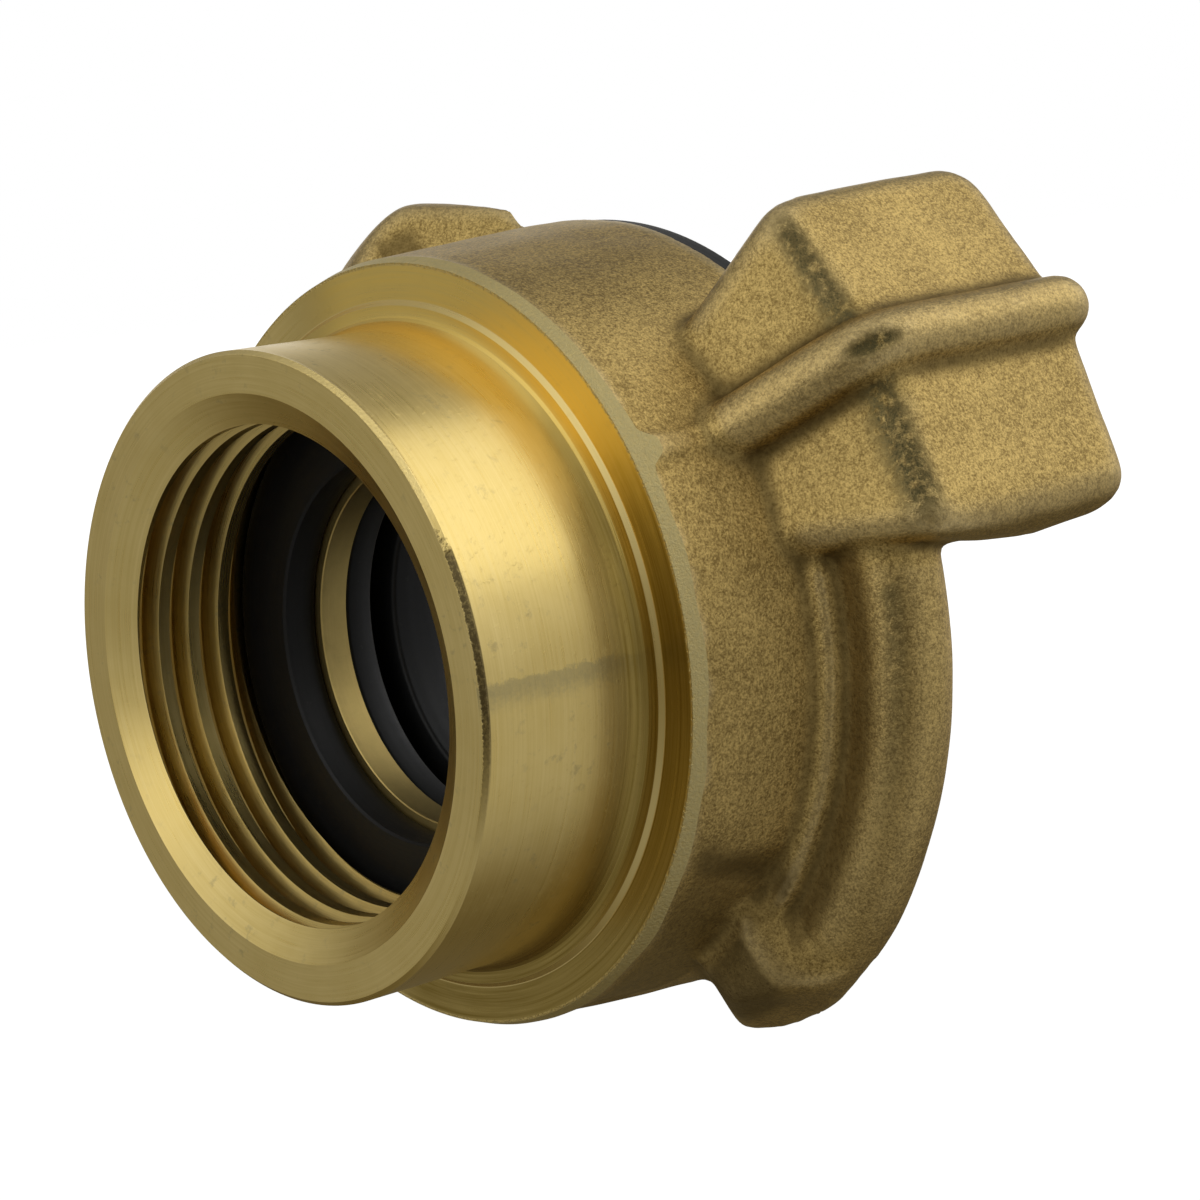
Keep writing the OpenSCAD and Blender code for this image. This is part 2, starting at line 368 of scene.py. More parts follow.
    def fused(self, voxel: float) -> "Stock":
        """Fuses overlapping solids into one skin.

        Args:
            voxel: Size of the skin's faces.

        Returns:
            The one closed skin.
        """
        thing = self.shown("fusing", [])
        remesh = thing.modifiers.new("fuse", "REMESH")
        remesh.mode = "VOXEL"
        remesh.voxel_size = voxel
        return self.taken_back(thing)

    def machined(self, tool: "Stock", solve: Solve = Solve.CUT) -> "Stock":
        """Cuts the solid with a tool.

        Args:
            tool: Closed solid of what the tool takes away.
            solve: The operation.

        Returns:
            The solid; faces that the tool leaves keep the tool's material slot.
        """
        thing = self.shown("work", [])
        cutter = tool.shown("tool", [])
        boolean = thing.modifiers.new("tool", "BOOLEAN")
        boolean.operation = solve.value
        boolean.solver = "MANIFOLD"
        boolean.object = cutter
        self.taken_back(thing)
        scrap(cutter)
        return self

    def creased(self, limit: float, soft: Optional[Finish] = None) -> "Stock":
        """Smooths all faces but keeps edges crisp between finishes and where the surface turns sharply.

        Args:
            limit: Angle between faces in degrees from which an edge is crisp.
            soft: Finish whose own edges all stay smooth.

        Returns:
            The solid.
        """
        for face in self.mesh.faces:
            face.smooth = True
        for edge in self.mesh.edges:
            if len(edge.link_faces) == 2:
                finishes = {face.material_index for face in edge.link_faces}
                always = soft is not None and finishes == {soft.value}
                edge.smooth = always or (len(finishes) == 1 and edge.calc_face_angle() < math.radians(limit))
        return self

    def taken_back(self, thing: bpy.types.Object) -> "Stock":
        """Applies a passing object's modifiers, takes its mesh back and removes it."""
        bpy.context.view_layer.update()
        ready = thing.evaluated_get(bpy.context.evaluated_depsgraph_get())
        self.mesh.clear()
        self.mesh.from_mesh(ready.to_mesh())
        ready.to_mesh_clear()
        scrap(thing)
        return self

    def shown(self, name: str, materials: Sequence[bpy.types.Material]) -> bpy.types.Object:
        """Makes an object of the solid.

        Args:
            name: Name of the object.
            materials: Its materials, or none for a passing object.

        Returns:
            The object, linked to the scene.
        """
        if not materials:
            for face in self.mesh.faces:
                face.material_index = max(face.material_index, self.finish.value)
        mesh = bpy.data.meshes.new(name)
        self.mesh.to_mesh(mesh)
        for material in materials or [None] * len(Finish):
            mesh.materials.append(material)
        return placed(name, mesh)


# ------------------------------------------------------------------------------------------------ forged blank


@dataclass(frozen=True)
class Core:
    """Forged core of the body, with machining stock at both ends."""

    rear_r: float = 19.0
    rear_z: float = 10.2
    waist_r: float = 19.67
    waist_z: float = 19.2
    front_r: float = 19.8
    front_z: float = 22.0
    stock: float = 0.35
    collar_stock_r: float = 17.2
    relief_from: float = 63.0
    relief_to: float = 110.0
    relief_edge: float = 3.0
    relief: tuple[Point, ...] = ((10.2, 0.0), (11.0, 0.08), (12.5, 0.3), (14.0, 0.42), (16.0, 0.42), (18.0, 0.27),
                                 (20.5, 0.25), (22.5, 0.1))
    shoulder: float = 1.5
    ring_gap: float = 0.6
    steps: int = 240

    def radius(self, z: float) -> float:
        """Returns the core's radius at a height."""
        heights, radii = (self.rear_z, self.waist_z, self.front_z), (self.rear_r, self.waist_r, self.front_r)
        return float(np.interp(z, heights, radii))

    def depth(self, z: float) -> float:
        """Returns the depth of the relief between the claws at a height."""
        heights, depths = zip(*self.relief)
        return float(np.interp(z, heights, depths))

    def relieved(self, place: Vector) -> Vector:
        """Returns where a point of the wall lies once the relief is pressed in."""
        radius = math.hypot(place.x, place.y)
        if radius < self.rear_r - self.stock or place.z < self.rear_z:
            return place
        angle = math.degrees(math.atan2(place.y, place.x)) % HALF_TURN
        share = blend(angle, self.relief_from - self.relief_edge, self.relief_from + self.relief_edge)
        share *= 1 - blend(angle, self.relief_to - self.relief_edge, self.relief_to + self.relief_edge)
        return place - Vector((place.x, place.y, 0)) / radius * share * self.depth(place.z)

    def form(self) -> Stock:
        """Returns the core."""
        top = self.front_z + self.stock
        count = round((top - self.rear_z) / self.ring_gap)
        wall = [self.rear_z + (top - self.rear_z) * i / count for i in range(count + 1)]
        low, shoulder_z = -2 * self.stock, self.rear_z - self.shoulder
        outline = [(0.0, low), (self.collar_stock_r, low), (self.collar_stock_r, shoulder_z),
                   (self.rear_r, shoulder_z), *((self.radius(z), z) for z in wall), (0.0, top)]
        return Stock.turned(outline, self.steps).moved(self.relieved)


@dataclass(frozen=True)
class Flange:
    """One of the two flanges that the other half's claws grip, from a claw's middle to its lobe's entry ramp."""

    rim_r: float = 24.0
    front_z: float = 22.0
    stock: float = 0.3
    root_r: float = 17.0
    ridge_r: float = 20.3
    ridge_z: float = 16.75
    track_z: float = 17.7
    rear_round: float = 2.35
    front_round: float = 1.6
    lobe_angle: float = 80.5
    lobe_z: float = 15.5
    lobe_top: float = 3.67
    lobe_round: float = 4.0
    stop_slope: float = 60.0
    stop_turn: float = 24.0
    ramp_slope: float = 43.0
    side_trim: tuple[float, float, float] = (19.5, 22.65, 20.0)
    tip_trim: tuple[float, float, float] = (44.5, 20.0, 0.0)
    blunt_turn: Span = (-7.0, 32.0)
    track_steps: int = 110
    lobe_steps: int = 60
    lobe_from: float = 20.0
    lobe_sweep: float = 60.0

    def front_edge(self) -> list[Point]:
        """Returns the rounded front edge of the rim, from the rim to the root."""
        centre = (self.rim_r - self.front_round, self.front_z - self.front_round)
        top = self.front_z + self.stock
        return [*arc(centre, self.front_round, 0, 90), (self.ridge_r, top), (self.root_r, top)]

    def track(self) -> Stock:
        """Returns the plain stretch with the guide ridge, the track and the rim."""
        centre = (self.rim_r - self.rear_round, self.track_z + self.rear_round)
        outline = [(self.root_r, self.ridge_z - 0.2), (self.ridge_r - 0.3, self.ridge_z - 0.1),
                   (self.ridge_r, self.ridge_z + 0.15), (self.ridge_r, self.track_z - 0.05),
                   (self.ridge_r + 0.1, self.track_z), *arc(centre, self.rear_round, -90, 0, 8), *self.front_edge()]
        return Stock.turned(outline, self.track_steps, sweep=self.lobe_angle - 2)

    def lobe(self) -> Stock:
        """Returns the lobe, cut from a thick stretch of flange by its side, ramp and trimming planes."""
        centre = (self.rim_r - self.lobe_round, self.lobe_z + self.lobe_round)
        outline = [(self.root_r, self.lobe_z), *arc(centre, self.lobe_round, -90, 0, 8), *self.front_edge()]
        work = Stock.turned(outline, self.lobe_steps, start=self.lobe_angle - self.lobe_from, sweep=self.lobe_sweep)
        along = polar(1, self.lobe_angle + QUARTER_TURN, 0)
        stop = polar(1, self.lobe_angle - QUARTER_TURN + self.stop_turn, 0)
        for side, out, slope in ((-1, stop, self.stop_slope), (1, along, self.ramp_slope)):
            lean = math.radians(slope)
            edge = polar(self.ridge_r, self.lobe_angle, self.lobe_z) + along * side * self.lobe_top / 2
            work.cut(edge, out * math.sin(lean) - Vector((0, 0, math.cos(lean))))
        for turn, reach, tilt in (self.side_trim, self.tip_trim):
            lean = math.radians(tilt)
            out = polar(math.cos(lean), self.lobe_angle + turn, -math.sin(lean))
            work.cut(polar(reach, self.lobe_angle + turn, self.front_z - 2), out)
        return work

    def blunt(self, place: Vector) -> bool:
        """Tells whether a place, turned to the near side, lies on the lobe, which the dies leave well rounded."""
        turn = math.degrees(math.atan2(place.y, place.x)) - self.lobe_angle
        low, high = self.blunt_turn
        return low < turn < high and math.hypot(place.x, place.y) > self.ridge_r - 0.2

    def form(self) -> Stock:
        """Returns the flange."""
        return self.track().joined(self.lobe())


@dataclass(frozen=True)
class Claw:
    """One of the two hooked claws, with the rib that the dies leave along its middle and its flash on the core."""

    roof_h: float = 26.45
    front_z: float = 32.28
    level_z: float = 22.0
    half_w: float = 9.3
    foot_half_w: float = 6.4
    foot_h: float = 19.3
    foot_z: float = 15.9
    back_run: float = 2.03
    roof_draft: float = 9.1
    roof_rise: float = 3.1
    shoulder_w: float = 9.1
    nose_half_w: float = 5.5
    nose_h: float = 18.0
    waist_h: float = 22.6
    root_half_w: float = 6.9
    skew: float = 0.026
    skew_z: float = 27.0
    corners: tuple[Point, ...] = ((-1, 2.2), (1, 1.9))
    edge: float = 1.5
    nick: Place = (26.85, 0.3, 18.3)
    nick_reach: Place = (1.4, 0.5, 1.6)
    nick_depth: float = 0.24
    rib_r: float = 1.5
    rib_sink: float = 0.12
    rib_back: float = 0.5
    rib_proud: float = 0.5
    flash_half_w: float = 0.5
    flash_h: float = 0.22
    flash_z: float = 9.9
    flash_root_r: float = 17.0
    flash_rear_r: float = 19.0
    block_low: Point = (14.0, 12.0)
    block_top: float = 30.0
    shoulder_z: float = 19.4
    root_z: float = 20.6
    root_mid_z: float = 21.5
    rib_crown_z: float = 18.0
    rib_bend: float = 2.6
    rib_steps: int = 8

    def back_z(self, height: float) -> float:
        """Returns where the sloping back stands at a distance from the axis."""
        return self.foot_z + (height - self.foot_h) / self.back_run

    def roof(self, z: float, aside: float = 0.0) -> float:
        """Returns the roof's distance from the axis at a height and a distance from the claw's middle."""
        draft = math.tan(math.radians(self.roof_draft))
        return self.roof_h + math.tan(math.radians(self.roof_rise)) * (z - self.level_z) - draft * abs(aside)

    def hook(self) -> Stock:
        """Returns the claw's block, cut to its roof, back, sides and nose and rounded."""
        low_h, low_z = self.block_low
        work = Stock.block((low_h, -self.half_w, low_z), (self.block_top, self.half_w, self.front_z + 1))
        work.cut(Vector((0, 0, self.front_z)), Vector((0, self.skew, 1)).normalized())
        rise = math.tan(math.radians(self.roof_rise))
        draft = math.tan(math.radians(self.roof_draft))
        work.cut(Vector((self.foot_h, 0, self.foot_z)), Vector((1 / self.back_run, 0, -1)))
        for side in (-1, 1):
            work.cut(Vector((self.roof_h, 0, self.level_z)), Vector((1, side * draft, -rise)))
            shoulder_h = self.roof(self.shoulder_z + 0.1, self.half_w)
            shoulder = Vector((shoulder_h, side * self.shoulder_w, self.shoulder_z))
            foot = Vector((self.foot_h, side * self.foot_half_w, self.foot_z))
            root = Vector((self.nose_h, side * self.root_half_w, self.root_z))
            work.cut(foot, side * (shoulder - foot).cross(root - foot) * -1)
            waist = Vector((self.waist_h, side * self.half_w, self.front_z))
            nose = Vector((self.nose_h, side * self.nose_half_w, self.front_z))
            root_mid = Vector((self.nose_h, side * self.root_half_w, self.root_mid_z))
            work.cut(nose, side * (waist - nose).cross(root_mid - nose))
        front_side, front = self.nose_half_w - 0.5, self.front_z - 0.4
        for side, radius in self.corners:
            work.soften(radius, 7, only=lambda middle: middle.z > front and side * middle.y > front_side)
        work.soften(self.edge, 5, only=lambda middle: middle.x > self.foot_h - 1)
        return work.moved(lambda place: place - Vector((0, self.skew * (place.z - self.skew_z), 0)))

    def nicked(self, place: Vector) -> float:
        """Returns the share of the nick's depth at a place, from 1 in its middle to 0 at its edge."""
        off = [(place[i] - self.nick[i]) / self.nick_reach[i] for i in range(3)]
        return max(0.0, 1 - sum(value * value for value in off))

    def rib(self) -> Stock:
        """Returns the rib, from its foot on the core over the crown to its end beyond the nose."""
        foot_h = self.foot_h - 1.5 * self.rib_r
        foot = Vector((foot_h, 0, self.back_z(foot_h) - self.rib_back))
        crown_h = self.roof(self.rib_crown_z) - self.rib_sink
        crown = Vector((crown_h, 0, self.back_z(crown_h) - self.rib_back))
        end_z = self.front_z + self.rib_proud - self.rib_r
        end = Vector((self.roof(end_z) - self.rib_sink, 0, end_z))
        before, after = (crown + (point - crown).normalized() * self.rib_bend for point in (foot, end))
        shares = [i / self.rib_steps for i in range(self.rib_steps + 1)]
        curve = [before.lerp(crown, t).lerp(crown.lerp(after, t), t) for t in shares]
        return Stock.rod([foot, *curve, end], self.rib_r)

    def flash(self) -> Stock:
        """Returns the low ridge that the parting line leaves on the core behind the claw."""
        half = math.degrees(self.flash_half_w / self.foot_h)
        outline = [(self.flash_root_r, self.flash_z), (self.flash_rear_r + self.flash_h, self.flash_z),
                   (self.foot_h + self.flash_h, self.foot_z), (self.flash_root_r, self.foot_z)]
        return Stock.turned(outline, 4, start=-half, sweep=2 * half)

    def form(self) -> Stock:
        """Returns both claws."""
        return self.hook().joined(self.rib(), self.flash()).twice()


# ------------------------------------------------------------------------------------------------ machining


@dataclass(frozen=True)
class RearTurning:
    """What is turned off outside: the collar, its flare, the turned face and the chamfer on the core."""

    collar_r: float = 15.6
    mouth_chamfer: float = 0.22
    flare_z: float = 7.1
    flare_r: float = 16.3
    face_z: float = 9.5
    step_r: float = 16.72
    step_h: float = 0.22
    face_r: float = 18.75
    chamfer_r: float = 19.0
    chamfer_z: float = 10.2
    overrun: float = 0.9
    clear_r: float = 34.0
    clear_z: float = -4.0
    flare_steps: int = 8
    steps: int = 288

    def tool(self) -> Stock:
        """Returns the solid of the waste."""
        c = self.mouth_chamfer
        run, rise = self.face_z - self.step_h - self.flare_z, self.flare_r - self.collar_r
        shares = [i / self.flare_steps for i in range(self.flare_steps + 1)]
        flare = [(self.collar_r + rise * t ** 2, self.flare_z + run * math.sin(math.pi / 2 * t)) for t in shares]
        slope = (self.chamfer_r - self.face_r) / (self.chamfer_z - self.face_z)
        past = self.chamfer_z + self.overrun
        outline = [(0.0, self.clear_z), (0.0, 0.0), (self.collar_r - c, 0.0), (self.collar_r, c), *flare,
                   (self.step_r, self.face_z - self.step_h), (self.step_r + self.step_h, self.face_z),
                   (self.face_r, self.face_z), (self.face_r + slope * (past - self.face_z), past),
                   (self.clear_r, past), (self.clear_r, self.clear_z)]
        return Stock.turned(outline, self.steps, Finish.TURNED)


@dataclass(frozen=True)
class FrontTurning:
    """What is turned off in front: the seal's seat, the flanges' front faces and the room under the hooks."""

    face_z: float = 22.0
    room_r: float = 24.4
    hook_z: float = 27.6
    nose_r: float = 20.0
    lead_in: float = 0.5
    front_z: float = 32.65
    steps: int = 288

    def tool(self) -> Stock:
        """Returns the solid of the waste."""
        past = self.front_z + 3
        outline = [(0.0, self.face_z), (self.room_r, self.face_z), (self.room_r, self.hook_z),
                   (self.nose_r, self.hook_z), (self.nose_r, self.front_z - self.lead_in),
                   (self.nose_r + self.lead_in + 3, past), (0.0, past)]
        return Stock.turned(outline, self.steps, Finish.TURNED)


@dataclass(frozen=True)
class Bore:
    """What is bored out: countersink, thread, gasket room, wall bore and the front seal's room."""

    mouth_r: float = 13.6
    mouth_depth: float = 0.9
    core_r: float = 12.06
    thread_end: float = 7.3
    gasket_room_r: float = 13.4
    seat_z: float = 10.1
    wall_bore_r: float = 9.1
    wall_z: float = 11.7
    bead_room_r: float = 16.1
    bead_room_z: float = 14.8
    neck_room_r: float = 14.6
    front_z: float = 22.0
    pitch: float = 1.814
    major_r: float = 13.0
    flank: float = 27.5
    crest_gain: float = 0.12
    groove_z: float = -1.325
    groove_round: Point = (0.08, 0.05)
    overlap: float = 0.2
    turns: float = 5.1
    steps_per_turn: int = 180
    steps: int = 256

    def tool(self) -> Stock:
        """Returns the solid of the plain bores."""
        slope = (self.mouth_r - self.core_r) / self.mouth_depth
        outline = [(0.0, -1.0), (self.mouth_r + slope, -1.0), (self.core_r, self.mouth_depth),
                   (self.core_r, self.thread_end), (self.gasket_room_r, self.thread_end),
                   (self.gasket_room_r, self.seat_z), (self.wall_bore_r + 0.05, self.seat_z),
                   (self.wall_bore_r, self.seat_z + 0.05), (self.wall_bore_r, self.wall_z),
                   (self.bead_room_r, self.wall_z), (self.bead_room_r, self.bead_room_z),
                   (self.neck_room_r, self.bead_room_z), (self.neck_room_r, self.front_z + 1), (0.0, self.front_z + 1)]
        return Stock.turned(outline, self.steps, Finish.TURNED)

    def tap(self) -> Stock:
        """Returns the helical groove of the pipe thread, which the countersink leaves below its cone."""
        inside = self.core_r - self.overlap
        depth = self.major_r - self.core_r
        lean = math.tan(math.radians(self.flank))
        middle = self.pitch / 4 - self.crest_gain
        foot = middle + (depth / 2 + self.overlap) * lean
        tip = middle - depth / 2 * lean
        deep, wide = self.groove_round
        rear = [(inside, -foot), (self.major_r - deep, -tip - wide), (self.major_r, -tip + wide)]
        outline = [(r, self.groove_z + z) for r, z in [*rear, *((r, -z) for r, z in reversed(rear))]]
        groove = Stock.turned(outline, round(self.steps_per_turn * self.turns), Finish.THREAD,
                              sweep=FULL_TURN * self.turns, lead=self.pitch)
        reach = self.major_r + 1
        room = Stock.block((-reach, -reach, self.mouth_depth + 0.05), (reach, reach, self.seat_z - 1))
        return groove.machined(room, Solve.KEEP)


# ------------------------------------------------------------------------------------------------ shader bench

Feed = Any


def arithmetic(operation: str, swapped: bool = False) -> Callable[["Wire", Feed], "Wire"]:
    """Returns the method of an operator, whose operands may be swapped."""
    def method(self: "Wire", other: Feed) -> "Wire":
        """Returns the result of the operator's Math node."""
        first, second = (other, self) if swapped else (self, other)
        return self.math(operation, first, second)
    return method


class Wire:
    """A shader socket that takes part in Python expressions; each operation adds its Math node."""

    __add__ = __radd__ = arithmetic("ADD")
    __sub__ = arithmetic("SUBTRACT")
    __rsub__ = arithmetic("SUBTRACT", swapped=True)
    __mul__ = __rmul__ = arithmetic("MULTIPLY")
    __pow__ = arithmetic("POWER")

    def __init__(self, bench: "Bench", socket: bpy.types.NodeSocket) -> None:
        """Wraps a socket of a bench's node tree."""
        self.bench = bench
        self.socket = socket

    def math(self, operation: str, *values: Feed) -> "Wire":
        """Returns the result of a Math node on the given values."""
        return self.bench.wire("ShaderNodeMath", {"operation": operation}, dict(enumerate(values)))

    def clamped(self) -> "Wire":
        """Returns the value kept between 0 and 1."""
        return self.math("MINIMUM", self.math("MAXIMUM", self, 0.0), 1.0)

    def swing(self, amount: float) -> "Wire":
        """Returns a value around a half as a swing around zero."""
        return (self - 0.5) * amount

    def between(self, low: float, high: float) -> "Wire":
        """Returns a smooth step from 0 at low to 1 at high; low may be the larger."""
        settings = {"interpolation_type": "SMOOTHSTEP"}
        swap = low > high
        bounds = {"From Min": min(low, high), "From Max": max(low, high),
                  "To Min": float(swap), "To Max": float(not swap)}
        return self.bench.wire("ShaderNodeMapRange", settings, {"Value": self, **bounds})

    def within(self, start: float, full: float, leave: float, end: float) -> "Wire":
        """Returns a mask that is 1 between full and leave and falls to 0 at start and end."""
        return self.between(start, full) * self.between(end, leave)


class Bench:
    """Makes and joins the nodes of one material or world."""

    def __init__(self, owner: bpy.types.Material | bpy.types.World) -> None:
        """Empties the owner's node tree."""
        owner.use_nodes = True
        self.tree = owner.node_tree
        self.tree.nodes.clear()

    def node(self, kind: str, settings: Optional[dict[str, Any]] = None,
             feeds: Optional[dict[Any, Feed]] = None) -> bpy.types.Node:
        """Makes any node.

        Args:
            kind: Node type.
            settings: Settings, which are made first; "stops" are a colour ramp's places and colours.
            feeds: Value or link of each socket, by name or number.

        Returns:
            The node.
        """
        made = self.tree.nodes.new(kind)
        for name, value in (settings or {}).items():
            if name == "stops":
                ramp = made.color_ramp.elements
                while len(ramp) < len(value):
                    ramp.new(0.5)
                for element, (place, colour) in zip(ramp, value):
                    element.position, element.color = place, (*colour, 1.0)
            else:
                setattr(made, name, value)
        for name, feed in (feeds or {}).items():
            self.join(made.inputs[name], feed)
        return made

    def join(self, socket: bpy.types.NodeSocket, feed: Feed) -> None:
        """Gives a socket its value or link."""
        if isinstance(feed, Wire):
            self.tree.links.new(feed.socket, socket)
        elif isinstance(feed, bpy.types.NodeSocket):
            self.tree.links.new(feed, socket)
        elif isinstance(feed, tuple) and len(feed) == 3 and socket.type == "RGBA":
            socket.default_value = (*feed, 1.0)
        else:
            socket.default_value = feed

    def wire(self, kind: str, settings: Optional[dict[str, Any]] = None, feeds: Optional[dict[Any, Feed]] = None,
             output: Any = 0) -> Wire:
        """Makes a node and returns one of its outputs."""
        return Wire(self, self.node(kind, settings, feeds).outputs[output])

    def mixed(self, share: Feed, first: Feed, second: Feed) -> Wire:
        """Returns a colour mixed from two by a share of the second."""
        feeds = {0: share, 6: first, 7: second}
        return self.wire("ShaderNodeMix", {"data_type": "RGBA"}, feeds, output=2)

    def place(self) -> Wire:
        """Returns the place on the piece in millimetres."""
        coords = self.wire("ShaderNodeTexCoord", output="Object")
        return self.wire("ShaderNodeVectorMath", {"operation": "SCALE"}, {"Vector": coords, "Scale": 1 / MM})

    def axes(self, place: Wire) -> tuple[Wire, Wire, Wire]:
        """Returns the three coordinates of a vector."""
        parts = self.node("ShaderNodeSeparateXYZ", None, {0: place})
        return tuple(Wire(self, out) for out in parts.outputs)

    def vector(self, *parts: Feed) -> Wire:
        """Returns the vector of three coordinates."""
        return self.wire("ShaderNodeCombineXYZ", None, dict(enumerate(parts)))

    def turned(self, place: Wire, drift: Point) -> tuple[Wire, ...]:
        """Finds where a place lies on a turned piece.

        Args:
            place: The place in millimetres, with the bore along x.
            drift: How fast the marks of turning change across the piece, along y and z.

        Returns:
            The three coordinates, the radius and the stretched place in which turning leaves its rings.
        """
        x, y, z = self.axes(place)
        radius = (y * y + z * z) ** 0.5
        return x, y, z, radius, self.vector(x, radius, y * drift[0] + z * drift[1])

    def noise(self, place: Feed, scale: float, detail: float, roughness: float) -> Wire:
        """Returns noise around 0.5 at a number of patches per unit."""
        return self.wire("ShaderNodeTexNoise", {"noise_dimensions": "3D"},
                         {"Vector": place, "Scale": scale, "Detail": detail, "Roughness": roughness})

    def painted(self, colour: Feed, coats: Sequence[tuple[Wire, Feed]]) -> Feed:
        """Returns a colour painted over with others, each by its share."""
        for share, paint in coats:
            colour = self.mixed(share.clamped(), colour, paint)
        return colour

    def bump(self, height: Feed, depth: float) -> Wire:
        """Returns the normal of a surface with the given height in units of depth, in millimetres."""
        return self.wire("ShaderNodeBump", None, {"Height": height, "Distance": depth * MM, "Strength": 1.0})

    def attribute(self, name: str) -> Wire:
        """Returns a value that the mesh keeps at its vertices."""
        return self.wire("ShaderNodeAttribute", {"attribute_type": "GEOMETRY", "attribute_name": name}, output="Fac")

    def surface(self, feeds: dict[str, Feed]) -> None:
        """Makes the material's shader and joins it to the output."""
        shader = self.wire("ShaderNodeBsdfPrincipled", None, feeds)
        self.node("ShaderNodeOutputMaterial", None, {"Surface": shader})


# ------------------------------------------------------------------------------------------------ finishes


@dataclass(frozen=True)
class ForgedBrass:
    """Forged and blasted brass skin with a fine grain, painted shade in its hollows and on shaded faces, painted
    highlights along its edges and dark wear, partly painted shade.
    """

    light: Colour = (0.68, 0.488, 0.17)
    dark: Colour = (0.25, 0.168, 0.052)
    # Colour of the painted shade in hollows, creases and shaded faces
    hollow: Colour = (0.105, 0.07, 0.022)
    # Colour of the painted highlight along convex edges
    edge: Colour = (0.74, 0.59, 0.31)
    # Colour of the dark wear, which also carries painted shade behind the claws' crowns
    worn: Colour = (0.115, 0.095, 0.04)
    grain: Noise = (8.5, 3.0, 0.7)
    speck: Noise = (3.4, 3.0, 0.65)
    cloud: Noise = (0.28, 3.0, 0.5)
    patch: Noise = (2.2, 4.0, 0.7)
    patch_span: Span = (0.3, 0.55)
    tone: float = 0.47
    roughness: float = 0.42
    grain_depth: float = 0.022

    def material(self) -> bpy.types.Material:
        """Returns the material."""
        made = bpy.data.materials.new("forged_brass")
        bench = Bench(made)
        place = bench.place()
        grain, speck, cloud, patch = (bench.noise(place, *layer)
                                      for layer in (self.grain, self.speck, self.cloud, self.patch))
        hollow, edge, worn = (bench.attribute(name).clamped() for name in ("hollow", "edge", "worn"))
        worn = worn * patch.between(*self.patch_span)
        tone = (self.tone + grain.swing(3.2) + speck.swing(1.5) + cloud.swing(0.7)).clamped()
        # Painted highlight on edges, painted shade in hollows and on shaded faces, then dark wear with painted shade
        colour = bench.painted(bench.mixed(tone, self.dark, self.light), (
            (edge * (0.15 + speck * 0.5), self.edge),
            (hollow * (0.7 + grain.swing(1.4)), self.hollow),
            (worn * (0.95 + grain.swing(2.2)), self.worn)))
        rough = self.roughness + grain.swing(0.25) + hollow * 0.15 - edge * 0.06
        relief = grain + speck * 1.3 - worn * 1.2
        bench.surface({"Base Color": colour, "Metallic": 1.0, "Roughness": rough.clamped(),
                       "Normal": bench.bump(relief, self.grain_depth)})
        return made


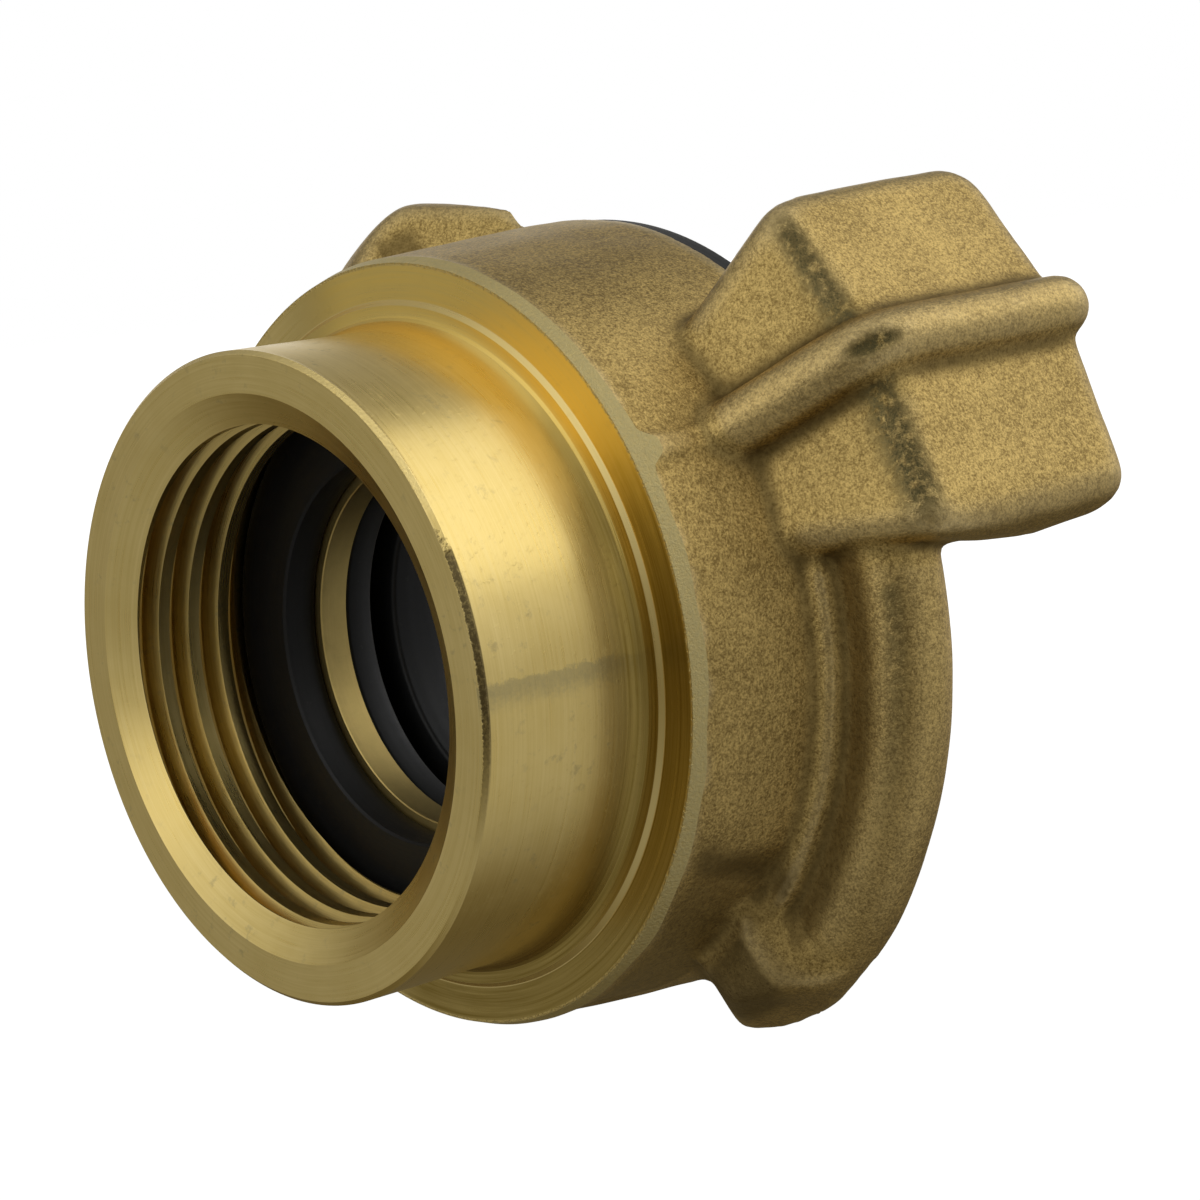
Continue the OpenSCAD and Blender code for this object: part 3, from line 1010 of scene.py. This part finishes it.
@dataclass(frozen=True)
class TurnedBrass:
    """Turned brass: fine rings and scratches, a rough pale chamfer, a nicked mouth edge with a painted highlight on
    its top, a tarnish line, and painted shade low on the turned face and flare with a painted highlight higher up.

    The masks are places in the model's frame, in millimetres: along the bore, up, to the side or from the axis.
    """

    name: str = "turned_brass"
    light: Colour = (0.88, 0.69, 0.28)
    dark: Colour = (0.68, 0.50, 0.15)
    tarnish: Colour = (0.42, 0.35, 0.17)
    pale: Colour = (0.52, 0.45, 0.23)
    dull: Colour = (0.52, 0.39, 0.14)
    # deep is the painted highlight and shade the painted shade of the turned face
    deep: Colour = (0.90, 0.63, 0.15)
    shade: Colour = (0.30, 0.20, 0.035)
    nick: Colour = (0.16, 0.12, 0.05)
    roughness: float = 0.30
    ring_depth: float = 0.004
    drift: Point = (0.02, 0.015)
    rings: Noise = (7.0, 3.0, 0.7)
    wide: Noise = (0.22, 3.0, 0.6)
    spots: Noise = (1.4, 4.0, 0.65)
    grain: Noise = (6.0, 3.0, 0.7)
    scratch: Noise = (2.2, 4.0, 0.75)
    scratch_span: Span = (0.58, 0.7)
    stain_spots: Span = (0.56, 0.72)
    stain_wide: Span = (0.42, 0.6)
    collar_r: Band = (15.2, 15.3, 15.8, 16.4)
    line_up: Band = (-1.5, -0.3, -0.05, 0.15)
    line_aside: Span = (0.5, -0.5)
    flare_along: Span = (6.9, 8.8)
    flare_r: Span = (15.0, 15.3)
    face_inner_r: Span = (15.8, 16.6)
    face_outer_r: Span = (18.66, 18.56)
    # Where the turned face gets its painted shade and painted highlight: to the side, and up from shade to highlight
    painted_light_face_aside: Span = (9.0, 3.0)
    painted_highlight_up: Span = (5.0, 12.5)
    painted_highlight_aside: Span = (9.0, 2.0)
    chamfer_r: Span = (18.61, 18.78)
    step_r: Band = (16.70, 16.75, 16.96, 17.01)
    step_along: Span = (8.9, 9.2)
    mouth_along: Span = (0.36, 0.24)
    mouth_r: Span = (15.36, 15.42)
    lit_up: Span = (7.0, 9.0)
    nicked_up: Span = (7.0, 5.6)
    nicked_down: Span = (-8.0, 0.0)
    nicked_aside: Span = (0.0, -4.0)
    wall_r: Span = (9.8, 9.7)

    def material(self) -> bpy.types.Material:
        """Returns the material."""
        made = bpy.data.materials.new(self.name)
        bench = Bench(made)
        place = bench.place()
        x, y, z, radius, lathe = bench.turned(place, self.drift)
        rings = bench.noise(lathe, *self.rings)
        wide, spots, grain = (bench.noise(place, *layer) for layer in (self.wide, self.spots, self.grain))
        across = bench.vector(x * 0.5 + z * 0.7, y * 2.0, z * 1.6 - x * 1.2)
        scratch = bench.noise(across, *self.scratch).between(*self.scratch_span)
        outside = radius.within(*self.collar_r)
        stain = (spots.between(*self.stain_spots) * 0.45 * wide.between(*self.stain_wide)).clamped()
        line = (z + spots.swing(0.8) + grain.swing(0.5)).within(*self.line_up) * outside * y.between(*self.line_aside)
        flare = x.between(*self.flare_along) * radius.between(*self.flare_r)
        face = (flare + radius.between(*self.face_inner_r)).clamped() * radius.between(*self.face_outer_r)
        # Share of painted highlight over painted shade on the turned face, growing upwards
        deep = ((z + wide.swing(4.0)).between(*self.painted_highlight_up) * y.between(*self.painted_highlight_aside)).clamped()
        chamfer = (radius + grain.swing(0.5)).between(*self.chamfer_r)
        step = radius.within(*self.step_r) * x.between(*self.step_along)
        mouth = x.between(*self.mouth_along) * (radius + grain.swing(0.16)).between(*self.mouth_r)
        # Painted highlight along the top of the mouth edge's burr
        lit = mouth * z.between(*self.lit_up)
        nicked = mouth * (z + spots.swing(5.0)).between(*self.nicked_up)
        nicked = nicked * z.between(*self.nicked_down) * y.between(*self.nicked_aside)
        wall = radius.between(*self.wall_r)
        tone = (0.5 + rings.swing(1.3) + wide.swing(0.9)).clamped()
        colour = bench.painted(bench.mixed(tone, self.dark, self.light), (
            (stain, self.tarnish),
            (line * (0.35 + grain * 0.5), self.tarnish),
            # Painted shade low on the turned face and painted highlight higher up
            (face * y.between(*self.painted_light_face_aside) * (0.8 + rings.swing(1.2)), bench.mixed(deep, self.shade, self.deep)),
            (chamfer * (0.25 + grain * 0.8), self.pale),
            (step * 0.8, self.light),
            # Painted highlight on the top of the mouth edge
            (lit * (grain * 1.6), self.light),
            (nicked * (0.2 + grain * 1.5), self.nick),
            (wall * (0.5 + spots * 0.6), self.dull)))
        rough = self.roughness + rings.swing(0.16) + wide.swing(0.12) + stain * 0.15 + chamfer * 0.2 + wall * 0.12
        height = rings + spots * 0.3 + scratch * outside * 0.9 - nicked * 12 + chamfer * grain * 14 + lit * grain * 8
        bench.surface({"Base Color": colour, "Metallic": 1.0, "Roughness": rough.clamped(),
                       "Normal": bench.bump(height, self.ring_depth)})
        return made


@dataclass(frozen=True)
class Rubber:
    """Matte black rubber with fine rings from cutting or from its mould."""

    name: str
    colour: Colour = (0.006, 0.006, 0.0056)
    dust: Colour = (0.035, 0.035, 0.033)
    roughness: float = 0.5
    shine: float = 0.35
    drift: Point = (0.03, 0.03)
    rings: Noise = (3.0, 3.0, 0.7)
    specks: Noise = (3.0, 4.0, 0.7)
    dust_span: Span = (0.6, 0.8)
    ring_depth: float = 0.004

    def material(self) -> bpy.types.Material:
        """Returns the material."""
        made = bpy.data.materials.new(self.name)
        bench = Bench(made)
        place = bench.place()
        rings = bench.noise(bench.turned(place, self.drift)[-1], *self.rings)
        specks = bench.noise(place, *self.specks)
        colour = bench.painted(self.colour, ((specks.between(*self.dust_span) * 0.5, self.dust),))
        rough = self.roughness + rings.swing(0.3) + specks.swing(0.2)
        bench.surface({"Base Color": colour, "Roughness": rough.clamped(), "Specular IOR Level": self.shine,
                       "Normal": bench.bump(rings, self.ring_depth)})
        return made


# ------------------------------------------------------------------------------------------------ pieces


class Body:
    """The brass body: one forging, turned at both ends."""

    VOXEL = 0.26
    SMOOTHING = 3
    BLUNTING = 16
    UNEVEN = 0.05
    UNEVEN_SCALE = 0.35
    SHARP = 18.0
    SPREADING = 5
    CROWN_Z = 18.9
    RIM_PATCH_R = 23.1
    CUT_THREAD = {"light": (0.84, 0.64, 0.23), "dark": (0.52, 0.37, 0.11)}

    def __init__(self) -> None:
        """Takes the sizes of the forging and of the tools."""
        self.core = Core()
        self.near_flange = Flange()
        self.far_flange = Flange(lobe_angle=82.6, lobe_round=5.2, side_trim=(18.2, 23.75, 14.0))
        self.claw = Claw()
        self.rear = RearTurning()
        self.front = FrontTurning()
        self.bore = Bore()

    def forging(self) -> Stock:
        """Returns the blank as it leaves the dies and the blasting."""
        flanges = self.near_flange.form().joined(self.far_flange.form().opposite())
        blank = self.core.form().joined(flanges, self.claw.form())
        blank.fused(self.VOXEL).smoothed(self.SMOOTHING).smoothed(self.BLUNTING, only=self.near_flange.blunt)
        blank.smoothed(self.BLUNTING, only=lambda place: self.far_flange.blunt(-place * Vector((1, 1, -1))))
        return blank.moved(self.uneven)

    def uneven(self, place: Vector) -> Vector:
        """Returns where a point of the skin lies with the slight unevenness and the nick of the forging."""
        apart = Vector((40, 0, 0))
        shift = Vector([noise.noise(place * self.UNEVEN_SCALE + apart * i) for i in range(3)]) * self.UNEVEN
        shift.x -= self.claw.nicked(place) * self.claw.nick_depth
        return place + shift

    def build(self) -> bpy.types.Object:
        """Returns the finished piece."""
        work = self.forging()
        LOG.info("forging: %d faces", len(work.mesh.faces))
        for tool in (self.rear.tool(), self.front.tool(), self.bore.tool(), self.bore.tap()):
            work.machined(tool)
        LOG.info("machined body: %d faces", len(work.mesh.faces))
        work.creased(self.SHARP, soft=Finish.FORGED)
        metals = [ForgedBrass(), TurnedBrass(), TurnedBrass("cut_thread", **self.CUT_THREAD)]
        thing = work.shown("coupling_body", [metal.material() for metal in metals])
        self.weather(thing.data)
        return dress(thing, "body")

    def weather(self, mesh: bpy.types.Mesh) -> None:
        """Keeps at each vertex of the forged skin its painted shade in hollows and on shaded faces, its painted
        highlight on edges, and its wear, partly painted shade.
        """
        places, normals = (column(mesh.vertices, name, 3) for name in ("co", "normal"))
        first, second = column(mesh.edges, "vertices", 2, int).T
        step = places[second] - places[first]
        length = np.linalg.norm(step, axis=1) + 1e-9
        bend, number = np.zeros(len(places)), np.zeros(len(places))
        for ends, sign in ((first, -1), (second, 1)):
            np.add.at(bend, ends, sign * (step * normals[ends]).sum(1) / length ** 2)
            np.add.at(number, ends, 1)
        forged = np.zeros(len(places), dtype=bool)
        for polygon in mesh.polygons:
            if polygon.material_index == Finish.FORGED.value:
                forged[list(polygon.vertices)] = True
        bend = np.clip(np.where(forged, bend / np.maximum(number, 1), 0.0), -1.5, 1.5)
        for _ in range(self.SPREADING):
            total = bend.copy()
            np.add.at(total, first, bend[second])
            np.add.at(total, second, bend[first])
            bend = total / (number + 1)
        # Painted highlight on convex edges, painted shade in hollows and on shaded faces, and wear with painted shade
        marks = {"edge": ramp(bend, 0.05, 0.3),
                 "hollow": np.where(forged, np.maximum(-bend / 0.3 - 0.18, self.shaded(places)), 0.0),
                 "worn": np.where(forged, self.worn(places), 0.0)}
        for name, values in marks.items():
            store = mesh.attributes.new(name, "FLOAT", "POINT")
            store.data.foreach_set("value", np.clip(values, 0, 1).astype(np.float32))

    def worn(self, places: np.ndarray) -> np.ndarray:
        """Returns how far the blasting missed each place, behind the claws' crowns, in the nick and under the rim.

        The band behind the crowns also carries painted shade, wider and darker where the claws face down.

        Args:
            places: Places in the coupling's millimetre frame, one per row.

        Returns:
            A share from 0 to 1 for each place.
        """
        def bump(value: np.ndarray, middle: float, half: float) -> np.ndarray:
            """Returns 1 at the middle, falling to 0 at half a width from it."""
            return ramp(np.abs(value - middle), half, half * 0.375)

        reach, aside, z = np.abs(places[:, 0]), places[:, 1], places[:, 2]
        spread = np.abs(aside)
        # Painted shade: the crown band grows wider and darker towards the side of the claw that faces down
        lower_shade = np.where(places[:, 0] * aside > 0, np.clip(spread / self.claw.half_w, 0, 1), 0)
        crown = bump(z - (1 - lower_shade) * 0.1, self.CROWN_Z, 0.7 + 0.35 * lower_shade) * (reach > self.claw.foot_h + 4.1)
        crown = crown * (spread > self.claw.rib_r + 0.1)
        crown = crown * np.clip((self.claw.half_w - 1.1 + 0.5 * lower_shade - spread) / 1.6, 0, 0.85 + 0.15 * lower_shade)
        off = (places - np.array(self.claw.nick)) / np.array(self.claw.nick_reach)
        nick = np.clip(1.3 - (off ** 2).sum(1), 0, 1)
        radius = np.hypot(places[:, 0], aside)
        turn = np.degrees(np.arctan2(aside, places[:, 0])) % HALF_TURN
        rim = bump(radius, self.RIM_PATCH_R, 0.5) * (z < self.near_flange.front_z - 1.5)
        rim = rim * (spread > self.claw.half_w + 0.3) * np.clip((60 - turn) / 60, 0, 0.6)
        return np.maximum(np.maximum(crown, nick), rim)

    def shaded(self, places: np.ndarray) -> np.ndarray:
        """Returns how much darker each place is painted, from 0 to 1, along the two tracks.

        The near lobe's side, the step where the relief between the claws begins and the relief beyond it get painted
        shade.
        """
        flange = self.near_flange
        radius = np.hypot(places[:, 0], places[:, 1])
        turn = np.degrees(np.arctan2(places[:, 1], places[:, 0])) % HALF_TURN
        z = places[:, 2]
        track = ramp(radius, flange.ridge_r, flange.ridge_r + 0.25) * ramp(radius, 22.4, 21.7)
        track = track * ramp(z, 18.9, 18.4) * (z > flange.track_z - 0.5) * 0.75
        near = (turn < 115) * (places[:, 1] > 0) * ramp(z, self.core.front_z - 2.5, self.core.front_z - 4.0)
        # Painted shade on the near lobe's side, which faces down and away from the light
        past = turn - flange.lobe_angle
        side = ramp(past - (radius - flange.ridge_r) * 1.1, -4.6, -3.7)
        side = np.maximum(side, 0.3 * ramp(past, -9.5, -8.0))
        side = side * ramp(radius, 19.6, 20.1) * ramp(radius, 23.4, 22.6) * near
        # Painted shade on the step where the relief between the claws begins and over the relief beyond it
        past = turn - self.core.relief_from
        step = np.clip(1.2 - np.abs(past - (z - 13.0) * 1.2) / 4.0, 0, 0.9)
        step = np.maximum(step, 0.55 * ramp(past, 0, 3)) * (radius < flange.ridge_r - 0.1)
        step = step * ramp(z, self.core.rear_z, self.core.rear_z + 1) * (z < flange.ridge_z + 0.2) * near
        return np.maximum(np.maximum(track, side), step)


@dataclass(frozen=True)
class ThreadGasket:
    """The flat rubber gasket at the bottom of the thread."""

    hole_r: float = 9.55
    rim_r: float = 13.2
    front_z: float = 8.1
    seat_z: float = 10.1
    nib: float = 0.12
    rings: Noise = (4.0, 3.0, 0.7)

    def build(self) -> bpy.types.Object:
        """Returns the finished piece."""
        n = self.nib
        outline = [(self.hole_r, self.front_z + n), (self.hole_r + n, self.front_z), (self.rim_r - n, self.front_z),
                   (self.rim_r, self.front_z + n), (self.rim_r, self.seat_z - n), (self.rim_r - n, self.seat_z),
                   (self.hole_r + n, self.seat_z), (self.hole_r, self.seat_z - n)]
        work = Stock.turned(outline, RING_STEPS).creased(RING_SHARP)
        thing = work.shown("gasket_ring", [Rubber("gasket_rubber", rings=self.rings).material()])
        return dress(thing, "thread_gasket")


@dataclass(frozen=True)
class FaceSeal:
    """The moulded rubber seal in the front, with its bead, its lip groove and its brim."""

    hole_r: float = 9.2
    foot_z: float = 11.7
    groove_z: float = 13.5
    groove_top: float = 14.9
    groove_r: float = 11.5
    bead_r: float = 16.0
    bead_z: float = 14.7
    neck_r: float = 14.5
    brim_z: float = 22.0
    brim_r: float = 19.65
    front_z: float = 23.5
    brim_round: float = 0.5
    brim_edge: float = 0.2
    lip: float = 0.9
    foot_round: float = 0.3
    bead_round: float = 0.5
    groove_edge: float = 0.25
    mark_r: tuple[float, ...] = (4.6, 4.2, 3.4, 3.0)
    mark_depth: float = 0.35
    colour: Colour = (0.009, 0.0095, 0.0092)
    dust: Colour = (0.05, 0.05, 0.048)
    rings: Noise = (1.6, 3.0, 0.7)
    shine: float = 0.4

    def build(self) -> bpy.types.Object:
        """Returns the finished piece."""
        mark = [(self.hole_r + r, self.front_z - depth)
                for r, depth in zip(self.mark_r, (0.0, self.mark_depth, self.mark_depth, 0.0))]
        outline = [
            *corner((self.hole_r, self.foot_z), self.foot_round, 180, 3),
            *corner((self.bead_r, self.foot_z), self.bead_round, -90, 4),
            *corner((self.bead_r, self.bead_z), self.bead_round, 0, 4),
            (self.neck_r, self.bead_z), (self.neck_r, self.brim_z),
            (self.brim_r - self.brim_edge, self.brim_z), (self.brim_r, self.brim_z + self.brim_edge),
            *corner((self.brim_r, self.front_z), self.brim_round, 0, 5), *mark,
            *corner((self.hole_r, self.front_z), self.lip, 90, 6),
            *corner((self.hole_r, self.groove_top), self.groove_edge, 180, 3),
            *corner((self.groove_r, self.groove_top), self.bead_round, 90, 4, -QUARTER_TURN),
            *corner((self.groove_r, self.groove_z), self.bead_round, 0, 4, -QUARTER_TURN),
            *corner((self.hole_r, self.groove_z), self.groove_edge, 90, 3)]
        work = Stock.turned(outline, RING_STEPS).creased(RING_SHARP)
        rubber = Rubber("seal_rubber", self.colour, self.dust, rings=self.rings, shine=self.shine)
        return dress(work.shown("seal_ring", [rubber.material()]), "face_seal")


def dress(thing: bpy.types.Object, node: str) -> bpy.types.Object:
    """Lays a piece down in the model's frame and puts it in its node's place.

    Args:
        thing: The piece, in the coupling's millimetre frame.
        node: Node that the piece replaces.

    Returns:
        The piece.
    """
    thing.data.transform(Lie().matrix())
    thing.data.update()
    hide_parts(node)
    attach(thing, "root")
    LOG.info("%s: %d faces", thing.name, len(thing.data.polygons))
    return thing


# ------------------------------------------------------------------------------------------------ studio


@dataclass(frozen=True)
class Studio:
    """Camera, lamps, backdrop and floor."""

    camera_place: Place = (-0.089682, -0.126324, 0.018545)
    camera_right: Place = (0.7378, -0.6642, -0.1206)
    camera_up: Place = (0.1613, 0.0, 0.9869)
    camera_forward: Place = (0.6555, 0.7475, -0.1071)
    lens: float = 99.257
    sensor: float = 36.0
    floor_size: float = 6.0
    ground: float = 0.13
    # Strength of each reflector, and where it starts and is full along the axes of the view from the object
    reflectors: tuple[tuple[float, tuple[tuple[int, Span], ...]], ...] = (
        (0.363, ((1, (0.1, -0.65)), (0, (-0.75, 0.35)))),
        (0.165, ((1, (0.1, -0.65)), (0, (-0.75, 0.35)), (2, (-0.08, 0.12)))),
        (-0.297, ((1, (0.1, -0.65)), (0, (-0.75, 0.35)), (2, (0.3, 0.6)))),
        (0.22, ((0, (-0.15, -0.6)), (1, (-0.75, -0.35)))),
        (0.20, ((2, (0.0, 0.6)),)),
        (0.34, ((0, (-0.6, -0.97)), (2, (-0.15, 0.25)))),
        (0.35, ((0, (-0.3, -0.6)), (2, (0.45, 0.75)))))
    warm: Colour = (1.0, 0.83, 0.45)
    warm_span: Span = (0.08, 0.36)
    white: Colour = (1.0, 1.0, 1.0)
    clear_r: Span = (60.0, 160.0)
    floor_glow: float = 1.15
    floor_grey: Colour = (0.6, 0.6, 0.6)
    floor_seen: float = 0.88
    # Name, place, power and size of each lamp
    lamps: tuple[tuple[str, Place, float, float], ...] = (
        ("key", (0.40, -0.245, 0.385), 0.66, 0.56),
        ("fill", (-0.55, -0.10, 0.22), 0.18, 0.40),
        ("top", (0.05, 0.05, 0.60), 0.20, 0.50))
    aim: Place = (0.015, 0.0, 0.0)

    def camera(self) -> None:
        """Sets up the camera at the photograph's viewing angle."""
        lens = bpy.data.cameras.new("camera")
        lens.lens, lens.sensor_width, lens.sensor_fit = self.lens, self.sensor, "HORIZONTAL"
        lens.clip_start, lens.clip_end = 0.01, 20.0
        back = [-value for value in self.camera_forward]
        turn = Matrix((self.camera_right, self.camera_up, back)).transposed().to_4x4()
        bpy.context.scene.camera = placed("camera", lens, Matrix.Translation(self.camera_place) @ turn)

    def seen(self, bench: Bench, rays: bpy.types.Node) -> Wire:
        """Returns 1 for what the camera sees directly and 0 for what lights or mirrors."""
        return Wire(bench, rays.outputs["Is Camera Ray"]) + Wire(bench, rays.outputs["Is Transmission Ray"])

    def backdrop(self) -> None:
        """Makes the surroundings: white behind the object, reflectors right and left of it, a dark table below."""
        world = bpy.data.worlds.new("backdrop")
        bpy.context.scene.world = world
        bench = Bench(world)
        rays = bench.node("ShaderNodeLightPath")
        way = bench.wire("ShaderNodeTexCoord", output="Generated")
        x, y, z = bench.axes(way)
        tent = self.ground
        for strength, spans in self.reflectors:
            share = strength
            for axis, span in spans:
                share = share * (x, y, z)[axis].between(*span)
            tent = tent + share
        colour = bench.mixed(tent.between(*self.warm_span), self.warm, self.white)
        behind = (x * 0.6 + y * 0.8).between(0.84, 0.99) * z.between(-0.25, 0.2)
        behind = behind + x.between(0.8, 0.99) * z.between(-0.5, -0.1) * 0.6
        white = (self.seen(bench, rays) + Wire(bench, rays.outputs["Is Glossy Ray"]) * behind).clamped()
        strength = tent * (1 - white) + white
        colour = bench.mixed(white, colour, self.white)
        sky = bench.wire("ShaderNodeBackground", None, {"Color": colour, "Strength": strength})
        bench.node("ShaderNodeOutputWorld", None, {"Surface": sky})

    def floor(self, height: float) -> None:
        """Lays the pale floor, white to the camera but for the object's soft shadow.

        Args:
            height: Height of the object's lowest point.
        """
        bm = bmesh.new()
        bmesh.ops.create_grid(bm, x_segments=1, y_segments=1, size=self.floor_size / 2,
                              matrix=Matrix.Translation((0, 0, height)))
        mesh = bpy.data.meshes.new("floor")
        bm.to_mesh(mesh)
        made = bpy.data.materials.new("floor")
        bench = Bench(made)
        rays = bench.node("ShaderNodeLightPath")
        x, y, _ = bench.axes(bench.place())
        far = ((x * x + y * y) ** 0.5).between(*self.clear_r)
        share = self.seen(bench, rays).clamped() * (self.floor_seen + far * (1 - self.floor_seen))
        paint = bench.wire("ShaderNodeBsdfDiffuse", None, {"Color": self.floor_grey})
        glow = bench.wire("ShaderNodeEmission", None, {"Color": self.white, "Strength": self.floor_glow})
        both = bench.wire("ShaderNodeMixShader", None, {0: share.clamped(), 1: paint, 2: glow})
        gone = bench.wire("ShaderNodeBsdfTransparent")
        mirrored = Wire(bench, rays.outputs["Is Glossy Ray"])
        result = bench.wire("ShaderNodeMixShader", None, {0: mirrored, 1: both, 2: gone})
        bench.node("ShaderNodeOutputMaterial", None, {"Surface": result})
        mesh.materials.append(made)
        placed("floor", mesh)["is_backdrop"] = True

    def lamp(self, name: str, place: Place, power: float, size: float) -> None:
        """Hangs one soft lamp that points at the object."""
        light = bpy.data.lights.new(name, "AREA")
        light.shape, light.size, light.energy = "DISK", size, power
        turn = (Vector(self.aim) - Vector(place)).to_track_quat("-Z", "Y").to_matrix().to_4x4()
        placed(name, light, Matrix.Translation(place) @ turn)

    def build(self) -> None:
        """Sets everything up round the finished object."""
        self.camera()
        self.backdrop()
        low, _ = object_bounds()
        self.floor(low.z)
        for lamp in self.lamps:
            self.lamp(*lamp)
        bpy.context.scene.view_settings.view_transform = "Standard"


def main() -> None:
    """Builds the pieces in order."""
    logging.basicConfig(level=logging.INFO, format="%(name)s: %(message)s")
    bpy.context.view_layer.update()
    Body().build()
    ThreadGasket().build()
    FaceSeal().build()
    Studio().build()


if __name__ == "__main__":
    main()
